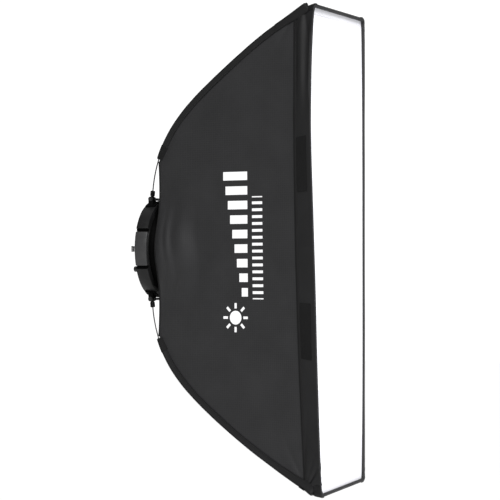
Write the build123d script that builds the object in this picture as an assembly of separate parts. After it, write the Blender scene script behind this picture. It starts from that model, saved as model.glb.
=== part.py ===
from build123d import *

import os
from math import cos, degrees, hypot, radians, sin, sqrt

# A strip softbox on a folding speed ring, in millimetres. The origin is the centre of the light mount,
# on the ring's rear face. +Z is up along the box's long side, X is across its short side, and the
# light leaves toward -Y. "Depth" is the distance forward of the ring's rear face, toward -Y.

# Box
front_height = 914.0
front_width = 305.0
box_depth = 391.0
lip_depth = 38.0
fabric = 1.2
lining = 0.5
lip_fabric = 2.0
sewn_gap = 0.1
collar_depth = 100.0

# Speed ring
ring_radius = 92.0
ring_depth = 24.0
housing_bore = 64.0
cover_radius = 78.0
cover_bore = 66.0
cover_thickness = 3.0
hub_radius = 78.0
hub_bore = 60.0
hub_depth = 12.0
retainer_radius = 76.0
retainer_thickness = 2.0

# Turning insert with three bayonet lugs
insert_radius = 72.0
insert_rim = 5.0
insert_step = 65.5
insert_stands_out = 2.0
mount_bore = 48.0
lug_radius = 50.0
lug_wall = 3.0
lug_toe = 5.0
lug_width = 11.0
lug_reach = 19.3

# Insert brake and its knob
knob_angle = 207.6
knob_circle = 85.0
knob_radius = 5.5
knob_height = 7.0
knob_shank = 2.0
knob_shank_length = 14.0
pad_width = 6.0
pad_depth = 4.0
pad_end = 80.0

# Release paddles
paddle_half_angle = 21.0
recess_half_angle = 25.5
paddle_wall = 5.5
paddle_travel = 3.0
recess_floor_gap = 1.0
tongue_width = 10.0
tongue_depth = 8.0
tongue_length = 10.5
spring_radius = 2.5
spring_wire = 0.4
spring_turns = 5
spring_offset = 14.0
pocket_radius = 3.1
pocket_length = 9.5
guide_slot_length = 9.9

# Hinges
hinge_height = 98.0
hinge_depth = 12.0
holder_place = 31.0
holder_width = 10.0
eye_radius = 5.0
axle_radius = 2.5
axle_overhang = 3.0
bracket_wall = 2.5
bracket_half_angle = 27.0
bracket_depth = 20.0
ear_wall = 3.7
ear_radius = 4.5
clip_wall = 2.0
clip_thickness = 1.2

# Rods
rod_radius = 1.2
rod_start = 5.5
rod_lean = 11.85
ferrule_length = 16.0
ferrule_radius = 4.6
ferrule_waist = 3.4
first_bend_radius = 319.0
first_bend_turn = 35.8
rod_short_of_side = 2.0
rod_short_of_end = 8.0
rod_short_of_front = 26.0
tip_radius = 2.2
tip_length = 12.0

# Sleeves and pockets along the rods
sleeve_side = 6.4
bag_gap = 3.7
sleeve_hole = 1.6
sleeve_first = 74.0
sleeve_stops_short = 28.0
webbing_side = 8.0
webbing_length = 26.0
corner_pocket_side = 6.8
corner_pocket_hole = 2.8
corner_pocket_reach = 22.0
corner_pocket_end = 3.0

# Rear collar
collar_bulge = 86.0
collar_bulge_height = 45.0
collar_front_bulge_height = 60.0
collar_corner_gap = 8.0
collar_bore = 62.0

# Patches, diffuser and baffle
patch_height = 107.0
patch_width = 24.0
patch_thickness = 1.0
patch_place = 155.0
patch_from_seam = 3.0
binding = 2.0
tape_wall = 0.8
tape_width = 20.0
diffuser_inset = 6.0
diffuser_thickness = 1.0
baffle_depth = 215.0
baffle_thickness = 0.8
baffle_gap = 30.0
baffle_end_gap = 58.0
strap_width = 10.0

# Screws
small_screw = 1.2
small_head = 2.4
small_head_height = 1.5
cover_screw_circle = 75.0
cover_screw_length = 8.0
big_screw = 1.5
big_head = 3.0
big_head_height = 1.8
hub_screw_circle = 70.0
hub_screw_grip = 8.0
bracket_screw_x = 12.0
bracket_screw_offset = 6.5
bracket_screw_length = 10.0

# Fits
running = 0.05
turning = 0.1
sliding = 0.1
apart = 0.3

FORWARD = Plane(origin=(0, 0, 0), x_dir=(1, 0, 0), z_dir=(0, -1, 0))
LOW = (Align.CENTER, Align.CENTER, Align.MIN)
EVERYWHERE = 3 * front_height
PANEL_STEPS = 10

hub_front = ring_depth + hub_depth
lip_start = box_depth - lip_depth
lip_end = box_depth - binding
recess_floor = ring_radius - paddle_wall - paddle_travel - recess_floor_gap


# ---- shapes about the ring's axis, placed by depth ----


def disc(radius, depth, far_depth, x=0.0, z=0.0):
    return FORWARD * Pos(x, z, depth) * Cylinder(radius, far_depth - depth, align=LOW)


def annulus(radius, bore, depth, far_depth):
    return disc(radius, depth, far_depth) - disc(bore, depth, far_depth)


def wedge(middle, half_angle, depth, far_depth):
    reach = 3 * ring_radius
    corners = [(0, 0)]
    for angle in (middle - half_angle, middle + half_angle):
        corners.append((reach * cos(radians(angle)), reach * sin(radians(angle))))
    flat = FORWARD * Pos(0, 0, depth) * make_face(Polyline(*corners, close=True))
    return extrude(flat, far_depth - depth)


def spin(angle, shape):
    return shape.rotate(Axis((0, 0, 0), (0, -1, 0)), angle)


def screw_ring(radius, angles):
    return [(radius * cos(radians(a)), radius * sin(radians(a))) for a in angles]


def bar_x(radius, start, end, depth, z):
    along = Plane(origin=(start, -depth, z), x_dir=(0, 1, 0), z_dir=(1, 0, 0))
    return along * Cylinder(radius, end - start, align=LOW)


def block(x0, x1, depth0, depth1, z0, z1):
    size = (x1 - x0, depth1 - depth0, z1 - z0)
    return Pos((x0 + x1) / 2, -(depth0 + depth1) / 2, (z0 + z1) / 2) * Box(*size)


def group(shapes):
    return Compound(children=[shape.solid() for shape in shapes])


# ---- speed ring ----

cover_screws = screw_ring(cover_screw_circle, (45, 90, 135, 225, 270, 315))
hub_screws = screw_ring(hub_screw_circle, [22.5 + 45 * i for i in range(8)])
paddle_middle_depth = ring_depth / 2
tongue = (
    paddle_middle_depth - tongue_depth / 2,
    paddle_middle_depth + tongue_depth / 2,
)
knob_place = screw_ring(knob_circle, [knob_angle])[0]
insert_front = cover_thickness + apart + insert_rim
pad_start = insert_radius + apart
pad_rear = cover_thickness + apart + (insert_rim - pad_depth) / 2


def pad_block(grow):
    radial = block(
        pad_start - grow,
        pad_end + grow,
        pad_rear - grow,
        pad_rear + pad_depth + grow,
        -pad_width / 2 - grow,
        pad_width / 2 + grow,
    )
    return spin(knob_angle, radial)


def paddle_pockets():
    """The slot and the spring pockets behind the paddle at +X."""
    slot = block(
        recess_floor - guide_slot_length,
        recess_floor + sliding,
        tongue[0] - sliding,
        tongue[1] + sliding,
        -tongue_width / 2 - sliding,
        tongue_width / 2 + sliding,
    )
    start = recess_floor - pocket_length
    for z in (-spring_offset, spring_offset):
        slot += bar_x(pocket_radius, start, recess_floor + 1, paddle_middle_depth, z)
    return slot


def ring_housing():
    body = annulus(ring_radius, housing_bore, 0, ring_depth)
    body -= disc(cover_radius, 0, cover_thickness)
    body -= disc(insert_radius + turning, 0, insert_front + apart)
    recess = annulus(ring_radius + 1, recess_floor, -1, ring_depth + 1)
    for middle in (0, 180):
        body -= recess & wedge(middle, recess_half_angle, -1, ring_depth + 1)
        body -= spin(middle, paddle_pockets())
    body -= pad_block(sliding)
    x, z = knob_place
    body -= disc(knob_shank + running, 0, knob_shank_length + 1, x, z)
    for x, z in cover_screws:
        body -= disc(small_screw, cover_thickness, cover_screw_length, x, z)
    for x, z in hub_screws:
        body -= disc(big_screw, ring_depth - hub_screw_grip, ring_depth, x, z)
    for level in (1, -1):
        for x, depth in bracket_screw_places:
            body -= upright(big_screw, bracket_screw_bottom, ring_radius, x, depth, level)
    return body


def rear_cover():
    body = annulus(cover_radius, cover_bore, 0, cover_thickness)
    for x, z in cover_screws:
        body -= disc(small_head, 0, small_head_height, x, z)
        body -= disc(small_screw, 0, cover_thickness, x, z)
    return body


def cover_screw(x, z):
    return disc(small_head, 0, small_head_height, x, z) + disc(
        small_screw, 0, cover_screw_length, x, z
    )


def mount_insert():
    rim_rear = cover_thickness + apart
    body = disc(insert_radius, rim_rear, insert_front)
    body += disc(insert_step, -insert_stands_out, insert_front)
    rear = -insert_stands_out - lug_reach
    half_angle = degrees(lug_width / (2 * (lug_radius + lug_wall)))
    lug = annulus(lug_radius + lug_wall, lug_radius, rear, -insert_stands_out)
    lug += annulus(lug_radius + lug_wall + lug_toe, lug_radius, rear, rear + lug_wall)
    for middle in (180, 60, -60):
        body += lug & wedge(middle, half_angle, rear - 1, 0)
    return body - disc(mount_bore, rear, insert_front)


def lock_knob():
    x, z = knob_place
    head = disc(knob_radius, -apart - knob_height, -apart, x, z)
    head = fillet(head.edges().group_by(Axis.Y)[-1], knob_height / 3)
    return head + disc(knob_shank, -apart - 1, knob_shank_length, x, z)


def release_paddle(middle):
    body = annulus(ring_radius, ring_radius - paddle_wall, 0, ring_depth)
    body &= wedge(middle, paddle_half_angle, 0, ring_depth)
    inner = ring_radius - paddle_wall
    end = inner - tongue_length
    half = tongue_width / 2
    guide = block(end, inner + 1, tongue[0], tongue[1], -half, half)
    return body + spin(middle, guide)


def paddle_spring(middle, z):
    start = recess_floor - pocket_length + spring_wire + sliding
    outer = abs(z) + spring_radius + spring_wire
    length = sqrt((ring_radius - paddle_wall) ** 2 - outer**2) - spring_wire - sliding - start
    base = Plane(origin=(start, -paddle_middle_depth, z), x_dir=(0, 1, 0), z_dir=(1, 0, 0))
    coil = base * Helix(length / spring_turns, length, spring_radius)
    section = Plane(coil @ 0, z_dir=coil % 0) * Circle(spring_wire)
    return spin(middle, sweep(section, path=coil, is_frenet=True))


def front_hub():
    body = annulus(hub_radius, hub_bore, ring_depth, hub_front)
    for x, z in hub_screws:
        body -= disc(big_screw, ring_depth, hub_front, x, z)
    return body


def fabric_retainer():
    start = hub_front + fabric
    body = annulus(retainer_radius, hub_bore, start, start + retainer_thickness)
    for x, z in hub_screws:
        body -= disc(big_screw, start, start + retainer_thickness, x, z)
    return body


def retainer_screw(x, z):
    top = hub_front + fabric + retainer_thickness
    shank = disc(big_screw, ring_depth - hub_screw_grip, top, x, z)
    return shank + disc(big_head, top, top + big_head_height, x, z)


# ---- hinges on the ring, made at the top and mirrored for the bottom ----

bracket_radius = ring_radius + bracket_wall
bracket_screw_bottom = ring_radius - bracket_screw_length
bracket_screw_places = [
    (x, hinge_depth + side * bracket_screw_offset)
    for x in (-bracket_screw_x, bracket_screw_x)
    for side in (-1, 1)
]
ear_start = holder_width / 2 + apart


def upright(radius, z0, z1, x, depth, level):
    post = Pos(x, -depth, z0) * Cylinder(radius, z1 - z0, align=LOW)
    return post if level > 0 else mirror(post, about=Plane.XY)


def hinge_bracket():
    first = hinge_depth - bracket_depth / 2
    last = hinge_depth + bracket_depth / 2
    body = annulus(bracket_radius, ring_radius, first, last)
    body &= wedge(90, bracket_half_angle, first, last)
    foot = ring_radius / 2
    for side in (-1, 1):
        for inward in (-1, 1):
            near = side * holder_place + inward * ear_start
            far = near + inward * ear_wall
            x0, x1 = min(near, far), max(near, far)
            ear = block(
                x0, x1, hinge_depth - ear_radius, hinge_depth + ear_radius, foot, hinge_height
            )
            ear += bar_x(ear_radius, x0, x1, hinge_depth, hinge_height)
            body += ear - disc(ring_radius, first - 5, last + 5)
    for x, depth in bracket_screw_places:
        body -= upright(big_screw, foot, hinge_height, x, depth, 1)
        body -= upright(big_head, bracket_screw_seat(), hinge_height, x, depth, 1)
    return body - bar_x(axle_radius, -foot, foot, hinge_depth, hinge_height)


def bracket_screw_seat():
    return ring_radius + bracket_wall / 3


def bracket_screw(x, depth, level):
    seat = bracket_screw_seat()
    shank = upright(big_screw, bracket_screw_bottom, seat, x, depth, level)
    return shank + upright(big_head, seat, seat + big_head_height, x, depth, level)


axle_half = holder_place + ear_start + ear_wall + axle_overhang


def hinge_axle():
    return bar_x(axle_radius, -axle_half, axle_half, hinge_depth, hinge_height)


def axle_clip(side, level):
    start = axle_half - axle_overhang + apart / 3
    outer = bar_x(
        axle_radius + clip_wall, start, start + clip_thickness, hinge_depth, hinge_height
    )
    clip = outer - bar_x(axle_radius, start - 1, start + 3, hinge_depth, hinge_height)
    return quarter(clip, side, level)


def quarter(shape, side, level):
    """The upper right piece, mirrored to the given side and level."""
    if side < 0:
        shape = mirror(shape, about=Plane.YZ)
    if level < 0:
        shape = mirror(shape, about=Plane.XY)
    return shape


# ---- rods: each lies in a plane that leans outward from its hinge ----

rod_rise = front_height / 2 - rod_short_of_end - hinge_height
rod_splay = (front_width / 2 - rod_short_of_side - holder_place) / rod_rise
stretch = hypot(1, rod_splay)
ROD = Plane(
    origin=(holder_place, -hinge_depth, hinge_height),
    x_dir=(rod_splay, 0, 1),
    z_dir=(1, 0, -rod_splay),
)


def rod_line():
    """The rod's centre line in its own plane: out of the ferrule, round one bend and on to the tip."""
    lean = Vector(cos(radians(rod_lean)), sin(radians(rod_lean)))
    straight = Line(lean * rod_start, lean * ferrule_length)
    bend = JernArc(lean * ferrule_length, lean, first_bend_radius, first_bend_turn)
    end = (rod_rise * stretch, box_depth - rod_short_of_front - hinge_depth)
    last = TangentArc(bend @ 1, end, tangent=bend % 1)
    return Wire([straight, bend, last])


rod_wire = rod_line()
rod_length = rod_wire.length


def rod_place(distance):
    """Depth, height and half width of the centre line at this distance along it."""
    point = rod_wire @ (distance / rod_length)
    rise = point.X / stretch
    return point.Y + hinge_depth, hinge_height + rise, holder_place + rod_splay * rise


def rod_at_depth(depth):
    low, high = 0.0, rod_length
    for _ in range(40):
        middle = (low + high) / 2
        if rod_place(middle)[0] < depth:
            low = middle
        else:
            high = middle
    return rod_place(low)


def rod_piece(start, end, section):
    """A section swept along the rod between two distances."""
    run = rod_wire.trim(start / rod_length, end / rod_length)
    across = Plane(origin=run @ 0, x_dir=(0, 0, 1), z_dir=run % 0)
    return ROD * sweep(across * section, path=run)


def rod():
    return rod_piece(0, rod_length, Circle(rod_radius))


def tip_plane():
    return ROD * Plane(origin=rod_wire @ 1, x_dir=(0, 0, 1), z_dir=rod_wire % 1).location


def tip_cap():
    plane = tip_plane()
    cap = plane * Pos(0, 0, 1 - tip_length) * Cylinder(tip_radius, tip_length, align=LOW)
    bore = Cylinder(rod_radius + sliding, 2 * tip_length, align=LOW)
    return cap - plane * Pos(0, 0, -2 * tip_length) * bore


def holder():
    eye = bar_x(
        eye_radius,
        holder_place - holder_width / 2,
        holder_place + holder_width / 2,
        hinge_depth,
        hinge_height,
    )
    along = ROD * Plane(origin=(0, 0, 0), x_dir=(0, 0, 1), z_dir=rod_wire % 0).location
    ferrule = along * Cylinder(ferrule_waist, ferrule_length, align=LOW)
    rib = ferrule_length / 6
    for start in (2.75, 3.9, 5):
        ferrule += along * Pos(0, 0, start * rib) * Cylinder(ferrule_radius, rib, align=LOW)
    body = eye + ferrule
    body -= along * Pos(0, 0, rod_start) * Cylinder(rod_radius, ferrule_length, align=LOW)
    return body - bar_x(axle_radius + running, 0, 2 * holder_place, hinge_depth, hinge_height)


# ---- fabric box: its corners follow the rods, this far inside their centre lines ----


def half_sizes(depth, inset):
    """Half height and half width of the box, this far in from its outer face."""
    seam = min(depth, lip_start)
    _, height, width = rod_at_depth(seam)
    _, ahead, _ = rod_at_depth(seam + 1)
    slope = ahead - height
    off = bag_gap * hypot(1, slope), bag_gap * hypot(1, slope * rod_splay)
    height, width = height - off[0], width - off[1]
    if depth > lip_start:
        share = (depth - lip_start) / lip_depth
        height += share * (front_height / 2 - height)
        width += share * (front_width / 2 - width)
    return height - inset * hypot(1, slope), width - inset * hypot(1, slope * rod_splay)


def depths(start, end):
    steps = PANEL_STEPS if start < lip_start < end or end <= lip_start else 1
    if end - start < lip_depth:
        steps = 1
    return [start + (end - start) * i / steps for i in range(steps + 1)]


def tall(inset, start, end):
    """Everything between the top and bottom faces."""
    line = [(-d, half_sizes(d, inset)[0]) for d in depths(start, end)]
    line += [(y, -z) for y, z in reversed(line)]
    side = Plane.YZ * make_face(Polyline(*line, close=True))
    return extrude(side, front_width, both=True)


def wide(inset, start, end):
    """Everything between the left and right faces."""
    line = [(half_sizes(d, inset)[1], -d) for d in depths(start, end)]
    line += [(-x, y) for x, y in reversed(line)]
    flat = Plane.XY * make_face(Polyline(*line, close=True))
    return extrude(flat, front_height, both=True)


def box_space(inset, start, end):
    return tall(inset, start, end) & wide(inset, start, end)


def box_shell(inset, wall, start, end):
    return box_space(inset, start, end) - box_space(inset + wall, start, end)


def half_of(shape, x=0, z=0):
    """The half of a shape that lies toward the given X or Z."""
    big = EVERYWHERE
    return shape & (Pos(x * big / 2, 0, z * big / 2) * Box(big, big, big))


def side_wall(side, wall, start, end):
    """A left or right face of the box, between its top and bottom faces."""
    walls = wide(0, start, end) - wide(wall, start, end)
    return half_of(walls & tall(wall, start, end), x=side)


def end_wall(level, wall, start, end):
    """The top or bottom face of the box."""
    walls = tall(0, start, end) - tall(wall, start, end)
    return half_of(walls & wide(0, start, end), z=level)


def collar_outline(depth, height, width, bulge, bulge_height, inset):
    quarter_turn = [(width - inset, height - inset), (bulge - inset, bulge_height)]
    corners = quarter_turn + [(x, -z) for x, z in reversed(quarter_turn)]
    corners += [(-x, -z) for x, z in corners]
    return FORWARD * Pos(0, 0, depth) * make_face(Polyline(*corners, close=True))


def collar_corners():
    """The collar's upper right corner on its rear edge and on its front edge."""
    _, height, width = rod_at_depth(hub_front)
    rear = Vector(width - collar_corner_gap, -hub_front, height - collar_corner_gap)
    height, width = half_sizes(collar_depth, 0)
    return rear, Vector(width, -collar_depth, height)


def collar_solid(inset):
    rear, front = collar_corners()
    outlines = [
        collar_outline(
            hub_front + inset, rear.Z, rear.X, collar_bulge, collar_bulge_height, inset
        ),
        collar_outline(
            collar_depth, front.Z, front.X, front.X, collar_front_bulge_height, inset
        ),
    ]
    return loft(outlines, ruled=True)


def collar_back():
    """The slice of space that the collar's flat back lies in."""
    return disc(front_height, hub_front, hub_front + fabric)


def rear_collar():
    body = collar_solid(0) & collar_back()
    for x, z in hub_screws:
        body -= disc(big_screw, hub_front, hub_front + fabric, x, z)
    return body - disc(collar_bore, hub_front, hub_front + fabric)


def collar_wall(keep):
    """A quarter of the collar's end wall, or of its side wall, cut apart along the corner."""
    rear, front = collar_corners()
    walls = collar_solid(0) - collar_solid(fabric) - collar_back()
    corner = Plane(origin=rear, z_dir=(front - rear).cross(Vector(1, 0, 1)))
    return split(half_of(half_of(walls, x=1), z=1), bisect_by=corner, keep=keep)


def collar_end(level):
    wall = collar_wall(Keep.TOP)
    return quarter(wall, 1, level) + quarter(wall, -1, level)


def collar_side(side):
    wall = collar_wall(Keep.BOTTOM)
    return quarter(wall, side, 1) + quarter(wall, side, -1)


def silver_lining():
    return box_shell(fabric + sewn_gap, lining, collar_depth + 1, lip_start)


def edge_binding():
    return box_shell(0, lip_fabric, lip_end, box_depth)


def lip_patch(side, level):
    start = lip_start + patch_from_seam
    end = start + patch_width
    outer = wide(-patch_thickness, start, end) - wide(0, start, end)
    middle = level * patch_place
    low, high = middle - patch_height / 2, middle + patch_height / 2
    band = block(-front_width, front_width, start, end, low, high)
    return half_of(outer & band, x=side)


def inner_tape(inset):
    return box_shell(inset, tape_wall, lip_end - tape_width, lip_end)


def front_diffuser():
    start = box_depth - diffuser_inset - diffuser_thickness
    inset = lip_fabric + 2 * tape_wall + 2 * sewn_gap
    return box_space(inset, start, start + diffuser_thickness)


def baffle_half():
    height, width = half_sizes(baffle_depth, fabric + sewn_gap + lining)
    return height - baffle_end_gap, width - baffle_gap


def inner_baffle():
    height, width = baffle_half()
    return block(
        -width, width, baffle_depth, baffle_depth + baffle_thickness, -height, height
    )


def baffle_strap(side, level):
    """From the baffle's corner to the box's corner, lying on the baffle's rear face."""
    height, width = baffle_half()
    corner_height, corner_width = half_sizes(baffle_depth, 2 * fabric + lining)
    run = Vector(corner_width - width, 0, corner_height - height)
    length = run.length - strap_width
    rear = baffle_depth - sewn_gap - baffle_thickness / 2
    along = Plane(origin=(width, -rear, height), x_dir=(0, 1, 0), z_dir=run)
    lap = strap_width
    strap = Pos(0, 0, -lap) * Box(baffle_thickness, strap_width, length + lap, align=LOW)
    return quarter(along * strap, side, level)


def square_tube(side, hole):
    return Rectangle(side, side) - hole


def sleeve():
    section = square_tube(sleeve_side, Circle(sleeve_hole))
    return rod_piece(sleeve_first, rod_length - sleeve_stops_short, section)


def sleeve_webbing():
    hole = Rectangle(sleeve_side + 2 * sewn_gap, sleeve_side + 2 * sewn_gap)
    section = square_tube(webbing_side, hole)
    return rod_piece(sleeve_first, sleeve_first + webbing_length, section)


def corner_pocket():
    plane = tip_plane()
    side = corner_pocket_side
    body = plane * Pos(0, 0, -corner_pocket_reach) * Box(
        side, side, corner_pocket_reach + corner_pocket_end, align=LOW
    )
    hole = Cylinder(corner_pocket_hole, corner_pocket_reach + 2, align=LOW)
    return body - plane * Pos(0, 0, -corner_pocket_reach) * hole


# ---- every piece, by node name ----

SIDES = {"left": -1, "right": 1}
LEVELS = {"upper": 1, "lower": -1}
CORNERS = [(side, level) for side in SIDES.values() for level in LEVELS.values()]

nodes = {
    "ring_housing": ring_housing(),
    "rear_cover": rear_cover(),
    "cover_screws": group([cover_screw(x, z) for x, z in cover_screws]),
    "mount_insert": mount_insert(),
    "insert_brake_pad": pad_block(0),
    "lock_knob": lock_knob(),
    "front_hub": front_hub(),
    "fabric_retainer": fabric_retainer(),
    "retainer_screws": group([retainer_screw(x, z) for x, z in hub_screws]),
    "bracket_screws": group(
        [bracket_screw(x, d, level) for x, d in bracket_screw_places for level in (1, -1)]
    ),
    "hinge_axles": group([quarter(hinge_axle(), 1, level) for level in LEVELS.values()]),
    "axle_clips": group([axle_clip(side, level) for side, level in CORNERS]),
    "rear_collar": rear_collar(),
    "top_panel": end_wall(1, fabric, collar_depth, lip_start),
    "bottom_panel": end_wall(-1, fabric, collar_depth, lip_start),
    "top_lip": end_wall(1, lip_fabric, lip_start, lip_end),
    "bottom_lip": end_wall(-1, lip_fabric, lip_start, lip_end),
    "silver_lining": silver_lining(),
    "sleeve_webbing": group([quarter(sleeve_webbing(), s, v) for s, v in CORNERS]),
    "lip_patches": group([lip_patch(side, level) for side, level in CORNERS]),
    "edge_binding": edge_binding(),
    "lip_loop_tape": inner_tape(lip_fabric),
    "diffuser_hook_tape": inner_tape(lip_fabric + tape_wall + sewn_gap),
    "front_diffuser": front_diffuser(),
    "inner_baffle": inner_baffle(),
    "baffle_straps": group([baffle_strap(side, level) for side, level in CORNERS]),
}
for name, side in SIDES.items():
    middle = 0 if side > 0 else 180
    nodes[f"{name}_release_paddle"] = release_paddle(middle)
    springs = [paddle_spring(middle, z) for z in (-spring_offset, spring_offset)]
    nodes[f"{name}_paddle_springs"] = group(springs)
    nodes[f"{name}_side_panel"] = side_wall(side, fabric, collar_depth, lip_start)
    nodes[f"{name}_side_lip"] = side_wall(side, lip_fabric, lip_start, lip_end)
    nodes[f"{name}_collar_wall"] = collar_side(side)
for level_name, level in LEVELS.items():
    nodes[f"{level_name}_collar_wall"] = collar_end(level)
    nodes[f"{level_name}_hinge_bracket"] = quarter(hinge_bracket(), 1, level)
    for side_name, side in SIDES.items():
        corner = f"{level_name}_{side_name}"
        nodes[f"{corner}_rod_holder"] = quarter(holder(), side, level)
        nodes[f"{corner}_rod"] = quarter(rod(), side, level)
        nodes[f"{corner}_rod_tip"] = quarter(tip_cap(), side, level)
        nodes[f"{corner}_rod_sleeve"] = quarter(sleeve(), side, level)
        nodes[f"{corner}_corner_pocket"] = quarter(corner_pocket(), side, level)

os.makedirs("parts", exist_ok=True)
for name, shape in nodes.items():
    export_step(shape, f"parts/{name}.step")
print(len(nodes), "nodes, rod length", round(rod_length, 1))
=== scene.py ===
from math import cos, hypot, pi, radians, sin

import bmesh
import bpy
import numpy as np
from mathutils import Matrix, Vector


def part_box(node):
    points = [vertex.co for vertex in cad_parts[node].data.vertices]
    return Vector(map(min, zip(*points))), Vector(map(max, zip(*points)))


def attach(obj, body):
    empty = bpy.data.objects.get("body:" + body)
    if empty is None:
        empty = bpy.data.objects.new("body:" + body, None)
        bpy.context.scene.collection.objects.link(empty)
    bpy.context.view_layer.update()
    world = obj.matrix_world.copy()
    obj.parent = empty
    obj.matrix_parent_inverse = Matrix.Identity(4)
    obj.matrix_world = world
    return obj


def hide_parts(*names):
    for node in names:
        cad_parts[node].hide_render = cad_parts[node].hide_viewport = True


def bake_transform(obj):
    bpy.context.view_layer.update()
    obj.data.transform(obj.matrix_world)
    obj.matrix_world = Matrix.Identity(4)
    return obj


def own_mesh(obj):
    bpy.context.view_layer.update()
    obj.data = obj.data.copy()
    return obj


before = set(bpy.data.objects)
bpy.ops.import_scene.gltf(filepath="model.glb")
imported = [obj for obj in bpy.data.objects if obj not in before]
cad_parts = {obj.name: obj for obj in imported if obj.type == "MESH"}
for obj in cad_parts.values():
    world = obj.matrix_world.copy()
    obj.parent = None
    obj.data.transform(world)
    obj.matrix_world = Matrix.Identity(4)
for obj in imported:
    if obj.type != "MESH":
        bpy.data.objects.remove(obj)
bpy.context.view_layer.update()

# A strip softbox. The cloth hangs on four bowed rods, so every cloth piece takes its place from the
# rods' centre line and from the front rectangle. "Depth" is the distance forward of the speed ring's
# rear face, toward -Y. Each cloth piece is made in an upper and a lower half that meet at mid height.

MM = 0.001
LEVELS = {"upper": 1, "lower": -1}
SIDES = {"left": -1, "right": 1}

# ---------------------------------------------------------------- sizes

FRONT_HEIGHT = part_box("edge_binding")[1].z
FRONT_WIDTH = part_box("edge_binding")[1].x
FRONT = -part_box("edge_binding")[0].y
SEAM = -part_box("top_lip")[1].y
HUB_FRONT = -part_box("front_hub")[0].y
HUB_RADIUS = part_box("front_hub")[1].x
RING_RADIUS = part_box("ring_housing")[1].z

PANEL_WALL = 1.0 * MM
LIP_WALL = 1.4 * MM
LINING_WALL = 0.4 * MM
CORNER_INSET = 2.2 * MM
LINING_INSET = 2.6 * MM
SLEEVE_START = 82 * MM
WEBBING_LENGTH = 27 * MM
SHOE_LENGTH = 78 * MM
SLEEVE_END = {"upper": 378 * MM, "lower": 370 * MM}

# ---------------------------------------------------------------- the rods' centre line


def rod_samples():
    """Depth, half height and half width at steps along the upper right rod, from its mesh."""
    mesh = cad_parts["upper_right_rod"].data
    points = np.array([v.co for v in mesh.vertices], float)
    chord = points.max(0) - points.min(0)
    chord[1] = -chord[1]
    along = points @ (chord / np.linalg.norm(chord))
    order = np.argsort(along)
    breaks = np.flatnonzero(np.diff(along[order]) > 3 * MM) + 1
    middles = np.array([points[part].mean(0) for part in np.split(order, breaks)])
    steps = np.linalg.norm(np.diff(middles, axis=0), axis=1)
    share = np.concatenate([[0], np.cumsum(steps)]) / steps.sum()
    fits = [np.polyfit(share, middles[:, axis], 7) for axis in (1, 2, 0)]
    fine = np.linspace(0, 1, 500)
    rows = np.stack([np.polyval(fit, fine) for fit in fits], axis=1)
    rows[:, 0] *= -1
    last = rows[-1] - rows[-2]
    tail = rows[-1] + last * np.arange(1, 60)[:, None]
    return np.concatenate([rows, tail])


ROD = rod_samples()
ROD_DISTANCE = np.concatenate([[0], np.cumsum(np.linalg.norm(np.diff(ROD, axis=0), axis=1))])
ROD_LENGTH = ROD_DISTANCE[499]


def rod_at(distance):
    """Depth, half height and half width of the rod at this distance from its holder."""
    return np.array([np.interp(distance, ROD_DISTANCE, ROD[:, i]) for i in range(3)])


def distance_at(depth):
    return float(np.interp(depth, ROD[:, 0], ROD_DISTANCE))


def corner_at(depth, inset=0.0):
    """Half height and half width of the cloth box at this depth."""
    seam = min(depth, SEAM)
    here, ahead = rod_at(distance_at(seam)), rod_at(distance_at(seam) + MM)
    rise = (ahead[1:] - here[1:]) / (ahead[0] - here[0])
    half = here[1:] - CORNER_INSET * np.hypot(1, rise)
    if depth > SEAM:
        share = (depth - SEAM) / (FRONT - SEAM)
        half = half + share * (np.array([FRONT_HEIGHT, FRONT_WIDTH]) - half)
    return half - inset * np.hypot(1, rise)


def smooth(x):
    x = np.clip(x, 0, 1)
    return x * x * (3 - 2 * x)


# ---------------------------------------------------------------- how the cloth gives way


def edge_shift(depth, x, z):
    """How far the cloth stands forward of its even place: the left side hangs a little unevenly."""
    up = z / FRONT_HEIGHT
    seam = np.polyval([8.2, -10.7, -3.2], up) * MM
    front = np.polyval([11.4, 7.7, -2.7, -14.7, -7.0], up) * MM
    share = np.clip((depth - SEAM) / (FRONT - SEAM), 0, 1)
    return (seam + (front - seam) * share) * leftness(depth, x)


def leftness(depth, x):
    reach = smooth((depth - 0.5 * SEAM) / (0.5 * SEAM))
    return reach * np.clip((FRONT_WIDTH - x) / (2 * FRONT_WIDTH), 0, 1)


def settle(depth, x, z):
    """A point's place once the cloth has settled: forward as the edge goes, and lower at the ends."""
    drop = 5.5 * MM * (z / FRONT_HEIGHT) ** 2 * leftness(depth, x)
    return np.stack([x, -(depth + edge_shift(depth, x, z)), z - drop], axis=-1)


def crease(turn):
    """Broad swells with sharp valleys between them, one every whole turn."""
    return 0.7 - 1.7 * (1 - np.abs(np.sin(turn / 2))) ** 2


CORNER_FOLDS = {
    (-1, -1): (2.6, 13, 0.3),
    (-1, 1): (1.2, 9, 1.1),
    (1, -1): (0.9, 11, 2.0),
    (1, 1): (0.8, 9, 0.6),
}
FOLD_CENTRE = SEAM + 12 * MM


def folds(side, depth, z):
    """Creases that fan out from the front corners, as a height above the even cloth."""
    total = 0
    for level in (-1, 1):
        size, count, phase = CORNER_FOLDS[(side, level)]
        across = FOLD_CENTRE - depth
        down = FRONT_HEIGHT - level * z
        away = np.hypot(across, down)
        angle = np.arctan2(across, np.maximum(down, 1e-6))
        strength = smooth(away / 0.016) * np.exp(-((away / 0.08) ** 1.6))
        bend = 0.25 * np.sin(away / 0.017 + 2 * phase)
        wave = crease(count * angle + phase + bend) + 0.5 * crease(1.9 * count * angle + 2 * phase)
        total = total + size * MM * strength * wave
    return total


HUB_PLEATS = ((0.058, 0.006, 3.0), (0.078, 0.011, 4.8), (0.1, 0.012, -2.0), (0.13, 0.011, 1.8))


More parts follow.
